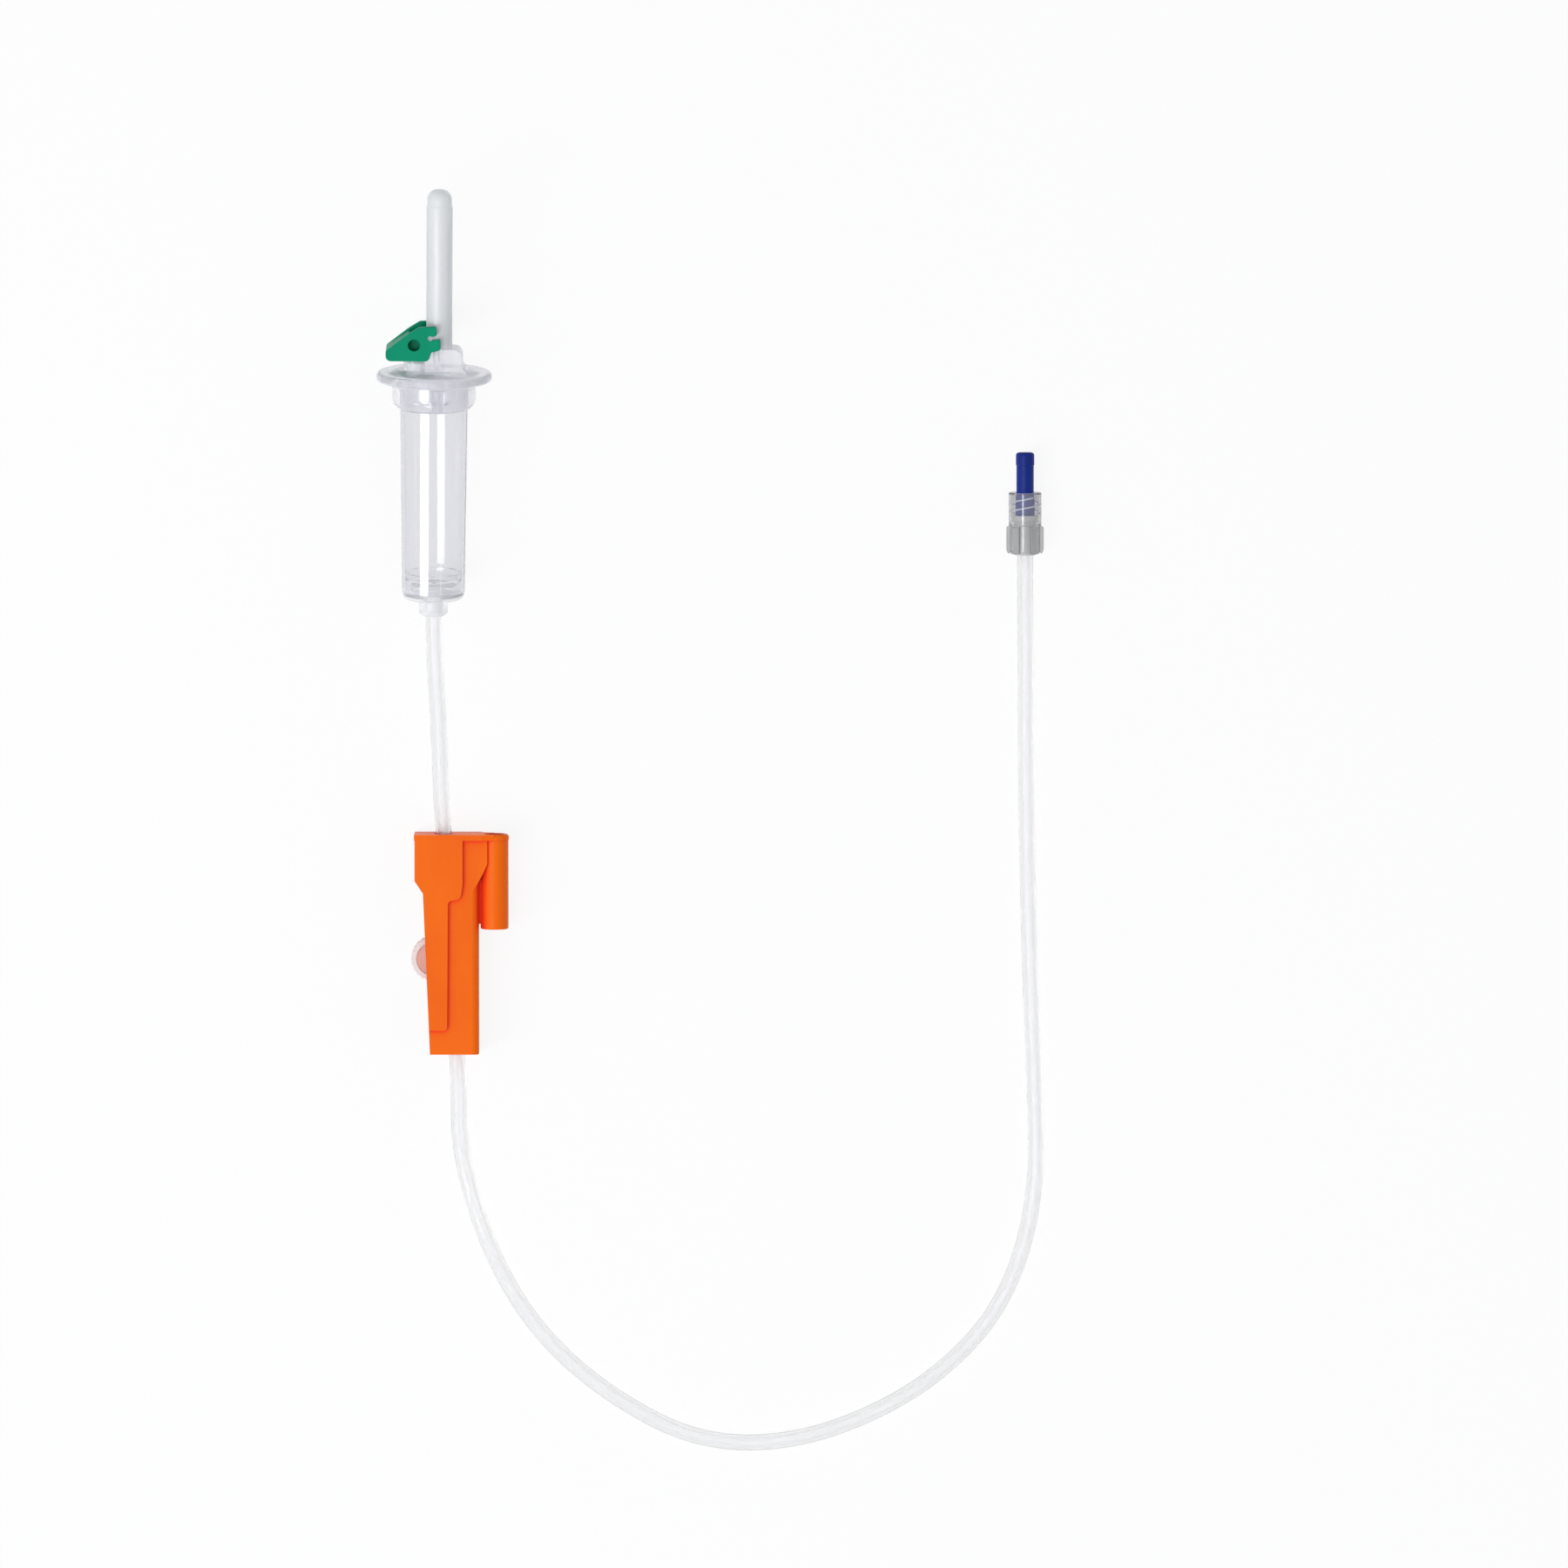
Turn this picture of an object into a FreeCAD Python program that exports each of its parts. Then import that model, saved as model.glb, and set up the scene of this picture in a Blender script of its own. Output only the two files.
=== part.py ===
import FreeCAD, Part
import os
import math

V = FreeCAD.Vector

# Gravity infusion set laid out flat, in millimetres. +Y runs towards the spike end,
# +X towards the patient end, +Z up from the table.

# General fits
BOND = 0.05
RUNNING = 0.05
CLEAR = 0.10

# Tube
TUBE_R = 2.25
TUBE_BORE_R = 1.5
SOCKET_R = TUBE_R + BOND

# Barrel of the drip chamber, tapering to its outlet end; heights along the chamber are
# above the lower face of the flange
CEILING = 1.2
BARREL_TOP_R = 9.75
BARREL_END_R = 9.0
BARREL_WALL = 0.9
BARREL_RIM_R = 10.9
BARREL_TOP = CEILING - BOND
BARREL_END = -61.1

# Cap of the drip chamber: round finger flange, low crown and skirt
FLANGE_R = 16.5
FLANGE_T = 2.5
FLANGE_EDGE = 1.0
CROWN_TOP = 3.3
SKIRT_WALL = 1.0
SKIRT_R = BARREL_RIM_R + BOND + SKIRT_WALL
SKIRT_END = -8.4
SKIRT_ROUND = 3.8

# Cup that closes the barrel, with the tube socket and the filter seat
BASE_TOP = -55.6
BASE_BORE = 7.2
BASE_FLOOR = -63.4
OUTLET_R = 4.15
OUTLET_END = -68.2
SOCKET_TOP = -61.9
WELL_R = 6.0
WELL_FLOOR = -61.2
FILTER_R = 6.5
FILTER_SEAT = -59.2

# Spike and its foot
SPIKE_X = 1.45
SPIKE_R = 2.75
SPIKE_SHOULDER = 33.0
SPIKE_TIP = 48.3
FOOT_TOP = 9.8
FOOT_LEFT = -2.6
FOOT_RIGHT = 8.4
FOOT_HALF = 4.65
ROOT_R = SPIKE_R + 0.47
ROOT_TOP = 13.0
FLUID_X = SPIKE_X - 0.7
FLUID_Y = 0.9
FLUID_R = 1.0
AIR_X = SPIKE_X + 0.5
AIR_Y = -1.4
AIR_R = 0.75
CHANNEL_R = 0.65
CHANNEL_S = 3.0
NOZZLE_R = 1.85
NOZZLE_END = -9.6

# Spike cover
COVER_BORE_R = ROOT_R + RUNNING
COVER_WALL = 0.45
COVER_R = COVER_BORE_R + COVER_WALL
COVER_START = FOOT_TOP + BOND
COVER_END = 55.3
COVER_STEP = 4.9

# Air vent and its hinged cap
VENT_X = -5.3
VENT_R = 3.5
VENT_BORE_R = 2.6
VENT_RIM = 6.4
VENT_SEAT = 4.9
PIVOT_X = -1.05
PIVOT_S = 13.1
PIN_R = 0.7
EAR_R = 1.5
EAR_IN = 3.9
EAR_OUT = FOOT_HALF
CHEEK_IN = EAR_OUT + CLEAR
CHEEK_OUT = 6.05

# Roller clamp: x, y from the top of the body, z is its thickness
CLAMP_T = 13.0
CLAMP_MID = CLAMP_T / 2
CLAMP_LEN = 63.2
PLATE_T = 1.6
WALL_OUT = 0.8
WALL_IN = 2.3
CLAMP_RIGHT = 8.75
PARK_X = 13.25
PARK_R = 4.0
PARK_Z = CLAMP_T - WALL_OUT - PARK_R
PARK_BORE_R = SPIKE_R + 0.25
PARK_DEEP = 25.5
PARK_END = 27.3
WHEEL_R = 6.25
WHEEL_HALF = 3.8
WHEEL_X = -4.4
WHEEL_Y = -35.85
WHEEL_LEAN = 0.041
AXLE_R = 1.5
AXLE_HALF = 5.4
WHEEL_UP = 12.0
WHEEL_DOWN = 16.0
GUIDE_DEEP = 1.3

# Luer lock end: heights are above the lower end of the collar
COLLAR_R = 4.7
COLLAR_BORE_R = 4.0
COLLAR_TOP = 17.6
CORE_R = 4.4
RIB_R = 5.35
RIB_T = 1.8
RIB_TOP = 8.0
LIP_TOP = 9.4
HUB_R = 3.1
SHOULDER_R = 3.6
SHOULDER_TOP = 10.9
CONE_BASE_R = 2.24
CONE_TIP_R = 1.98
CONE_TIP = 20.15
CAP_START = 11.0
CAP_TOP = 29.1
CAP_R = 2.5
CAP_HEAD_R = 2.65
VENT_DISC_R = 1.9
CAP_HEAD = 3.6
CAP_MOUTH_R = 2.75


# Places on the table of the flange, the top of the clamp and the end of the collar
CHAMBER_X = -78.7
CHAMBER_Y = 70.0
CLAMP_X = -75.0
CLAMP_Y = -60.5
LUER_X = 90.25
LUER_Y = 19.75


def outline(corners, place):
    """Closed wire through (u, v) corners; a third number rounds that corner."""
    count = len(corners)
    marks = []
    for i in range(count):
        here = V(corners[i][0], corners[i][1], 0)
        if len(corners[i]) == 2:
            marks.append((here, None, here))
            continue
        before = V(corners[i - 1][0], corners[i - 1][1], 0)
        after = V(corners[(i + 1) % count][0], corners[(i + 1) % count][1], 0)
        u = (before - here).normalize()
        w = (after - here).normalize()
        half = u.getAngle(w) / 2
        radius = corners[i][2]
        reach = radius / math.tan(half)
        middle = here + (u + w).normalize() * (radius / math.sin(half) - radius)
        marks.append((here + u * reach, middle, here + w * reach))
    edges = []
    for i in range(count):
        start, middle, end = marks[i]
        if middle is not None:
            edges.append(Part.Arc(place(start), place(middle), place(end)).toShape())
        following = marks[(i + 1) % count][0]
        if (following - end).Length > 1e-6:
            edges.append(Part.makeLine(place(end), place(following)))
    return Part.Wire(edges)


def lathe(points, x=0.0, y=0.0):
    """Turned solid about a line parallel to Z from (radius, height) corners."""
    face = Part.Face(outline(points, lambda p: V(x + p.x, y, p.y)))
    return face.revolve(V(x, y, 0), V(0, 0, 1), 360)


def rod(radius, start, end, x=0.0, y=0.0):
    """Round bar along Z between two heights."""
    return Part.makeCylinder(radius, end - start, V(x, y, start))


def block(x0, x1, y0, y1, z0, z1):
    return Part.makeBox(x1 - x0, y1 - y0, z1 - z0, V(x0, y0, z0))


def slab(points, z0, z1):
    """Flat plate with the given (x, y) outline."""
    face = Part.Face(outline(points, lambda p: V(p.x, p.y, z0)))
    return face.extrude(V(0, 0, z1 - z0))


def upright(points, y0, y1):
    """Plate with an (x, z) outline, thick along Y."""
    face = Part.Face(outline(points, lambda p: V(p.x, y0, p.y)))
    return face.extrude(V(0, y1 - y0, 0))


# Resting pose of the chamber: flange edge and barrel end touch the table
reach = FLANGE_EDGE - BARREL_END
rise = FLANGE_R - FLANGE_EDGE - BARREL_END_R
TILT = math.asin(FLANGE_EDGE / math.hypot(reach, rise)) + math.atan2(rise, reach)
CHAMBER_Z = BARREL_END_R * math.cos(TILT) - BARREL_END * math.sin(TILT)
CHAMBER_TURN = math.radians(0.4)
CHAMBER_AT = V(CHAMBER_X, CHAMBER_Y, CHAMBER_Z)

CLAMP_AT = V(CLAMP_X, CLAMP_Y, 0.0)

corner = math.radians(60) + math.atan2(RIB_T / 2, RIB_R)
LUER_AT = V(LUER_X, LUER_Y, math.hypot(RIB_R, RIB_T / 2) * math.sin(corner))


def chamber_place(shape):
    """Lay a piece built along Z onto the resting axis of the chamber."""
    s = shape.copy()
    s.rotate(V(0, 0, 0), V(1, 0, 0), -90 + math.degrees(TILT))
    s.rotate(V(0, 0, 0), V(0, 0, 1), -math.degrees(CHAMBER_TURN))
    s.translate(CHAMBER_AT)
    return s


def clamp_place(shape):
    s = shape.copy()
    s.translate(CLAMP_AT)
    return s


def luer_place(shape):
    s = shape.copy()
    s.rotate(V(0, 0, 0), V(1, 0, 0), -90)
    s.translate(LUER_AT)
    return s


def chamber_point(x, y, z):
    return chamber_place(Part.Vertex(x, y, z)).Point


def luer_point(x, y, z):
    return luer_place(Part.Vertex(x, y, z)).Point


def barrel_bore(s):
    """Radius of the tapered inside of the barrel at height s."""
    part = (BARREL_TOP - s) / (BARREL_TOP - BARREL_END)
    return BARREL_TOP_R + (BARREL_END_R - BARREL_TOP_R) * part - BARREL_WALL


# Spike body: spike, foot, flange, skirt and vent port in one moulding
def make_spike_body():
    flange = lathe([(0, 0), (FLANGE_R, 0, FLANGE_EDGE), (FLANGE_R, FLANGE_T, FLANGE_EDGE),
                    (0, FLANGE_T)])
    crown = lathe([(0, FLANGE_T - 0.5), (SKIRT_R + 1.6, FLANGE_T - 0.5), (SKIRT_R + 1.6, FLANGE_T - 0.1),
                   (SKIRT_R - 2.4, CROWN_TOP, 6.0), (0, CROWN_TOP)])
    skirt = lathe([(0, 1.0), (SKIRT_R, 1.0), (SKIRT_R, SKIRT_END, SKIRT_ROUND), (0, SKIRT_END)])
    body = flange.fuse([crown, skirt])
    cavity = lathe([(0, CEILING), (BARREL_RIM_R + BOND, CEILING),
                    (BARREL_RIM_R + BOND, -BOND), (BARREL_TOP_R + BOND, -BOND),
                    (BARREL_TOP_R + BOND, SKIRT_END - 1), (0, SKIRT_END - 1)])
    body = body.cut(cavity)

    foot = upright([(FOOT_LEFT, FLANGE_T - 0.3), (FOOT_RIGHT + 3.0, FLANGE_T - 0.3),
                    (FOOT_RIGHT + 3.0, FLANGE_T + 0.2), (FOOT_RIGHT, FLANGE_T + 1.6, 2.0),
                    (FOOT_RIGHT - 0.3, FOOT_TOP, 2.4), (FOOT_LEFT, FOOT_TOP)],
                   -FOOT_HALF, FOOT_HALF)
    rim = [e for e in foot.Edges if abs(abs(e.CenterOfMass.y) - FOOT_HALF) < 0.01
           and e.CenterOfMass.z > FLANGE_T + 0.3 and e.CenterOfMass.x > FOOT_LEFT + 0.5]
    foot = foot.makeFillet(0.7, rim)
    spike = lathe([(0, FOOT_TOP - 1), (ROOT_R, FOOT_TOP - 1), (ROOT_R, ROOT_TOP - 0.3),
                   (SPIKE_R, ROOT_TOP), (SPIKE_R, SPIKE_SHOULDER), (0.78 * SPIKE_R, 0.84 * SPIKE_TIP),
                   (0.42 * SPIKE_R, 0.96 * SPIKE_TIP), (0.4, SPIKE_TIP), (0, SPIKE_TIP)], SPIKE_X)
    port = rod(VENT_R, FLANGE_T - 0.3, VENT_RIM, VENT_X)
    hub = lathe([(0, CEILING + 0.5), (3.2, CEILING + 0.5), (3.2, -1.6), (2.8, -3.0), (0, -3.0)],
                FLUID_X, FLUID_Y)
    gusset = block(VENT_X, FOOT_LEFT + 1, -2.2, 2.2, FLANGE_T - 0.3, VENT_SEAT)
    body = body.fuse([foot, spike, port, hub, gusset])

    # ears with a pin each, either side of the spike
    for side in (-1, 1):
        y0 = min(side * EAR_IN, side * EAR_OUT)
        y1 = max(side * EAR_IN, side * EAR_OUT)
        ear = block(PIVOT_X - EAR_R, PIVOT_X + EAR_R + 1.5, y0, y1, FOOT_TOP - 1.5, FOOT_TOP)
        neck = upright([(PIVOT_X - EAR_R, FOOT_TOP - 0.1), (PIVOT_X + EAR_R + 1.5, FOOT_TOP - 0.1),
                        (PIVOT_X + EAR_R, PIVOT_S), (PIVOT_X - EAR_R, PIVOT_S)], y0, y1)
        head = Part.makeCylinder(EAR_R, y1 - y0, V(PIVOT_X, y0, PIVOT_S), V(0, 1, 0))
        pin = Part.makeCylinder(PIN_R, CHEEK_OUT - EAR_IN - 0.3,
                                V(PIVOT_X, side * EAR_IN, PIVOT_S), V(0, side, 0))
        body = body.fuse([ear, neck, head, pin])

    # passages: fluid, air, vent chamber and the seat of the drop nozzle
    cuts = [
        rod(FLUID_R, 1.0, SPIKE_TIP - 2.0, FLUID_X, FLUID_Y),
        rod(AIR_R, CHANNEL_S, SPIKE_TIP - 1.0, AIR_X, AIR_Y),
        rod(NOZZLE_R + BOND, -4.0, 2.2, FLUID_X, FLUID_Y),
        rod(VENT_BORE_R, VENT_SEAT, VENT_RIM + 1, VENT_X),
        rod(VENT_BORE_R - 0.7, CHANNEL_S - 0.4, VENT_SEAT + 0.1, VENT_X),
        Part.makeCylinder(CHANNEL_R, AIR_X - VENT_X, V(VENT_X, AIR_Y, CHANNEL_S), V(1, 0, 0)),
    ]
    return body.cut(cuts).removeSplitter()


def make_nozzle():
    return lathe([(FLUID_R, 2.15), (NOZZLE_R, 2.15), (NOZZLE_R, NOZZLE_END + 1.2), (1.35, NOZZLE_END),
                  (FLUID_R, NOZZLE_END)], FLUID_X, FLUID_Y)


def make_vent_membrane():
    return rod(VENT_BORE_R - BOND, VENT_SEAT, VENT_SEAT + 0.4, VENT_X)


def make_cover():
    step = COVER_END - COVER_STEP
    outer = lathe([(0, COVER_START), (COVER_R, COVER_START), (COVER_R, step),
                   (COVER_R - 0.2, step + 0.5), (COVER_R - 0.3, COVER_END, 2.9), (0, COVER_END)], SPIKE_X)
    inner = lathe([(0, COVER_START - 1), (COVER_BORE_R, COVER_START - 1), (COVER_BORE_R, step - 0.5),
                   (COVER_BORE_R - 0.3, COVER_END - 0.9, 2.3), (0, COVER_END - 0.9)], SPIKE_X)
    return outer.cut(inner)


# Vent cap: a lever with two cheeks that clip onto the pins
def make_vent_cap():
    low = VENT_RIM + CLEAR - PIVOT_S
    outline_cheek = [(-12.7, low, 1.5), (-0.5, low, 1.3), (0.35, -4.0, 0.6), (2.95, -3.4, 0.9),
                     (2.95, -0.1, 0.9), (0.9, 0.15), (1.95, 1.0, 0.45), (1.75, 3.4, 0.8),
                     (-3.1, 3.25, 1.6), (-6.4, 1.2, 3.0), (-12.7, -3.7, 0.9)]
    web = [(-12.7, low, 1.5), (-1.75, low), (-1.75, -4.3), (-2.75, -3.9), (-2.75, -0.4),
           (-6.4, 0.6), (-12.7, -3.7, 0.9)]

    def at_pivot(points):
        return [(PIVOT_X + p[0], PIVOT_S + p[1]) + tuple(p[2:]) for p in points]

    cap = upright(at_pivot(web), -CHEEK_IN - 0.1, CHEEK_IN + 0.1)
    for side in (-1, 1):
        y0 = min(side * CHEEK_IN, side * CHEEK_OUT)
        y1 = max(side * CHEEK_IN, side * CHEEK_OUT)
        cheek = upright(at_pivot(outline_cheek), y0, y1)
        face = [e for e in cheek.Edges if abs(e.CenterOfMass.y - side * CHEEK_OUT) < 0.01]
        cap = cap.fuse(cheek.makeFillet(0.3, face))
    seat = Part.makeCylinder(PIN_R + RUNNING, 20, V(PIVOT_X, -10, PIVOT_S), V(0, 1, 0))
    slot = upright(at_pivot([(0, -0.6), (1.0, -0.5), (4, -0.1), (4, 1.2), (1.0, 0.6), (0, 0.6)]),
                   -10, 10)
    cap = cap.cut([seat, slot])
    for side in (-1, 1):
        dimple = Part.makeCylinder(1.75, 3.5, V(PIVOT_X - 4.6, side * CHEEK_OUT, PIVOT_S - 1.95),
                                   V(0, -side, 0))
        cap = cap.cut(dimple)
    return cap.removeSplitter()


def make_barrel():
    return lathe([(BARREL_TOP_R - BARREL_WALL, BARREL_TOP), (BARREL_RIM_R, BARREL_TOP), (BARREL_RIM_R, 0),
                  (BARREL_TOP_R, 0), (BARREL_END_R, BARREL_END),
                  (BARREL_END_R - BARREL_WALL, BARREL_END)])


def make_base():
    end = BARREL_END - BOND
    lip = BARREL_END_R - 0.15
    return lathe([(barrel_bore(BASE_TOP) - BOND, BASE_TOP), (barrel_bore(BARREL_END) - BOND, end),
                  (lip, end), (lip, BASE_FLOOR, 1.9), (OUTLET_R, BASE_FLOOR),
                  (OUTLET_R, OUTLET_END, 1.5), (SOCKET_R, OUTLET_END), (SOCKET_R, SOCKET_TOP),
                  (TUBE_BORE_R, SOCKET_TOP), (TUBE_BORE_R, WELL_FLOOR), (WELL_R, WELL_FLOOR),
                  (WELL_R, FILTER_SEAT), (FILTER_R, FILTER_SEAT), (FILTER_R, FILTER_SEAT + 1.4),
                  (BASE_BORE, FILTER_SEAT + 2.1), (BASE_BORE, BASE_TOP)])


def make_filter():
    return rod(FILTER_R - BOND, FILTER_SEAT, FILTER_SEAT + 0.4)


# Roller clamp
def guide_x(y):
    """Middle of the guide groove at height y."""
    return WHEEL_X - WHEEL_LEAN * (y - WHEEL_Y)


def make_clamp(entry_x, exit_x):
    top = -PLATE_T + 0.3
    left = [(-9.6, top), (-9.6, -13.3), (-7.2, -16.9), (-5.25, -CLAMP_LEN)]
    front = left + [(7.0, -CLAMP_LEN), (7.0, -16.6), (10.0, -11.2), (11.25, -8.4), (11.25, top)]
    rear = left + [(7.0, -CLAMP_LEN), (7.0, -15.0), (CLAMP_RIGHT, -12.5), (CLAMP_RIGHT, top)]
    strip_end = 7.0 - CLAMP_LEN
    panel = [(-9.55, top), (-9.55, -13.3), (-7.15, -16.9), (-5.5, strip_end), (-0.3, strip_end, 1.0),
             (0.0, -19.0, 1.2), (3.6, -18.4, 1.8), (4.2, -14.0, 1.0), (4.2, top)]
    back = [(6.6, top), (6.6, -40.5), (5.9, -44.0), (4.1, 11.2 - CLAMP_LEN), (4.15, 7.2 - CLAMP_LEN),
            (5.5, 1.2 - CLAMP_LEN), (5.5, -CLAMP_LEN),
            (CLAMP_RIGHT, -CLAMP_LEN), (CLAMP_RIGHT, top)]
    spine = slab(back, WALL_OUT, CLAMP_T - WALL_OUT)
    outer = [e for e in spine.Edges if abs(e.CenterOfMass.x - CLAMP_RIGHT) < 0.01
             and e.Length > CLAMP_LEN / 2]
    spine = spine.makeFillet(2.0, outer)
    park = Part.makeCylinder(PARK_R, PARK_END - 0.5, V(PARK_X, -0.5, PARK_Z), V(0, -1, 0))
    park = park.makeFillet(0.5, [e for e in park.Edges if abs(e.CenterOfMass.y + PARK_END) < 0.01])
    web = block(CLAMP_RIGHT - 0.5, PARK_X - PARK_R + 0.5, -PARK_END + 1.5, -0.5,
                PARK_Z - 1.2, PARK_Z + 1.2)
    plate = block(-9.75, 9.6, -PLATE_T, 0, 0, CLAMP_T)
    end = PARK_R + 0.15
    nose = upright([(9.5, 1.5), (PARK_X, PARK_Z - end), (PARK_X, PARK_Z + end), (9.5, CLAMP_T)],
                   -PLATE_T, 0)
    cap = Part.makeCylinder(end, PLATE_T, V(PARK_X, -PLATE_T, PARK_Z), V(0, 1, 0))
    cap = cap.makeFillet(0.9, [e for e in cap.Edges if abs(e.CenterOfMass.y) < 0.01])
    bridge = block(-9.6, -8.3, -6.0, -0.5, WALL_OUT, CLAMP_T - WALL_OUT)
    floor = block(-5.2, CLAMP_RIGHT - 2.2, -CLAMP_LEN, -CLAMP_LEN + 1.2, WALL_OUT, CLAMP_T - WALL_OUT)
    pieces = [
        slab(rear, WALL_OUT, WALL_IN),
        slab(front, CLAMP_T - WALL_IN, CLAMP_T - WALL_OUT),
        slab(panel, 0, WALL_OUT + 0.1),
        slab(panel, CLAMP_T - WALL_OUT - 0.1, CLAMP_T),
        park, web, plate, nose, cap, bridge, floor,
    ]
    body = spine.fuse(pieces)
    cuts = [Part.makeCylinder(PARK_BORE_R, PARK_DEEP, V(PARK_X, 0, PARK_Z), V(0, -1, 0)),
            Part.makeCylinder(TUBE_R + 0.5, 4.0, V(entry_x, -2, CLAMP_MID), V(0, 1, 0)),
            Part.makeCylinder(TUBE_R + 0.5, 4.0, V(exit_x, -CLAMP_LEN - 1, CLAMP_MID), V(0, 1, 0))]
    half = AXLE_R + CLEAR
    top = WHEEL_Y + WHEEL_UP
    low = WHEEL_Y - WHEEL_DOWN
    groove = [(guide_x(low) - half, low - 0.3), (guide_x(low) + half, low - 0.3),
              (guide_x(top) + half, top + 0.3), (guide_x(top) - half, top + 0.3)]
    for z0, z1 in ((WALL_IN - GUIDE_DEEP, WALL_IN + 0.1),
                   (CLAMP_T - WALL_IN - 0.1, CLAMP_T - WALL_IN + GUIDE_DEEP)):
        cuts.append(slab(groove, z0, z1))
        cuts.append(rod(half, z0, z1, guide_x(low), low))
        cuts.append(rod(half, z0, z1, guide_x(top), top))
    return body.cut(cuts).removeSplitter()


def make_wheel():
    mid = CLAMP_MID
    wheel = lathe([(0, mid - AXLE_HALF), (AXLE_R, mid - AXLE_HALF), (AXLE_R, mid - 2.3),
                   (4.5, mid - 2.3), (4.8, mid - WHEEL_HALF), (WHEEL_R - 0.3, mid - WHEEL_HALF),
                   (WHEEL_R, mid - WHEEL_HALF + 0.3), (WHEEL_R, mid + WHEEL_HALF - 0.3),
                   (WHEEL_R - 0.3, mid + WHEEL_HALF), (4.8, mid + WHEEL_HALF), (4.5, mid + 2.3),
                   (AXLE_R, mid + 2.3), (AXLE_R, mid + AXLE_HALF), (0, mid + AXLE_HALF)],
                  WHEEL_X, WHEEL_Y)
    ribs = []
    count = 24
    for i in range(count):
        a = 2 * math.pi * (i + 0.5) / count
        ribs.append(rod(0.4, mid - WHEEL_HALF - 1, mid + WHEEL_HALF + 1,
                        WHEEL_X + (WHEEL_R + 0.15) * math.cos(a),
                        WHEEL_Y + (WHEEL_R + 0.15) * math.sin(a)))
    return wheel.cut(ribs)


# Luer lock end
def make_luer_body():
    return lathe([(SOCKET_R, -0.4), (HUB_R, -0.4, 0.3), (HUB_R, LIP_TOP + CLEAR),
                  (SHOULDER_R, LIP_TOP + CLEAR), (SHOULDER_R, SHOULDER_TOP), (CONE_BASE_R, SHOULDER_TOP),
                  (CONE_TIP_R, CONE_TIP), (1.15, CONE_TIP), (1.15, 8.0), (SOCKET_R, 8.0)])


def make_collar():
    collar = lathe([(HUB_R + CLEAR, 0), (CORE_R - 0.4, 0), (CORE_R, 0.6), (CORE_R, RIB_TOP),
                    (COLLAR_R, RIB_TOP + 0.4), (COLLAR_R, COLLAR_TOP, 0.25),
                    (COLLAR_BORE_R + 0.3, COLLAR_TOP), (COLLAR_BORE_R, COLLAR_TOP - 0.6),
                    (COLLAR_BORE_R, LIP_TOP), (HUB_R + CLEAR, LIP_TOP)])
    ribs = []
    for i in range(6):
        rib = upright([(3.9, 0.9), (4.6, 0.0), (RIB_R - 0.3, 0.4), (RIB_R, 1.2), (RIB_R, RIB_TOP - 0.5),
                       (RIB_R - 0.5, RIB_TOP), (3.9, RIB_TOP)], -RIB_T / 2, RIB_T / 2)
        rib.rotate(V(0, 0, 0), V(0, 0, 1), 60 * i)
        ribs.append(rib)
    return collar.fuse(ribs).removeSplitter()


def make_end_cap():
    grow = BOND
    head = CAP_TOP - CAP_HEAD
    outer = lathe([(0, CAP_START), (CAP_MOUTH_R, CAP_START), (CAP_MOUTH_R, CAP_START + 4.5),
                   (CAP_R, CAP_START + 7.0), (CAP_R, head - 0.2), (CAP_HEAD_R, head),
                   (CAP_HEAD_R, CAP_TOP, 0.9), (0, CAP_TOP)])
    slope = (CONE_BASE_R - CONE_TIP_R) / (CONE_TIP - SHOULDER_TOP)
    mouth = CONE_BASE_R + grow + slope * 1.0
    deep = CONE_TIP_R + grow - slope * 0.35
    bore = lathe([(0, CAP_START - 1), (mouth, CAP_START - 1), (deep, CONE_TIP + 0.35),
                  (VENT_DISC_R, CONE_TIP + 0.35), (VENT_DISC_R, CAP_TOP - 2.0), (0.4, CAP_TOP - 2.0),
                  (0.4, CAP_TOP + 1), (0, CAP_TOP + 1)])
    return outer.cut(bore).removeSplitter()


def make_cap_membrane():
    return rod(VENT_DISC_R - BOND, CAP_TOP - 2.35, CAP_TOP - 2.05)


# Tube route: straight runs joined by tangent arcs
def rounded_path(points):
    """Wire of lines and arcs; each arc uses 0.45 of its shorter run."""
    edges = []
    radii = []
    start = points[0]
    for i in range(1, len(points) - 1):
        a, b, c = points[i - 1], points[i], points[i + 1]
        u = (a - b).normalize()
        w = (c - b).normalize()
        turn = math.pi - u.getAngle(w)
        cut = 0.45 * min((a - b).Length, (c - b).Length)
        radius = cut / math.tan(turn / 2)
        p = b + u * cut
        q = b + w * cut
        middle = (u + w).normalize()
        centre_off = radius / math.cos(turn / 2)
        mid = b + middle * (centre_off - radius)
        edges.append(Part.LineSegment(start, p).toShape())
        edges.append(Part.Arc(p, mid, q).toShape())
        radii.append(round(radius, 1))
        start = q
    edges.append(Part.LineSegment(start, points[-1]).toShape())
    return Part.Wire(edges), radii


def sweep(path, radius):
    first = path.Edges[0]
    at = first.valueAt(first.FirstParameter)
    heading = first.tangentAt(first.FirstParameter)
    ring = Part.Wire(Part.makeCircle(radius, at, heading))
    return path.makePipeShell([ring], True, False)


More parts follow.
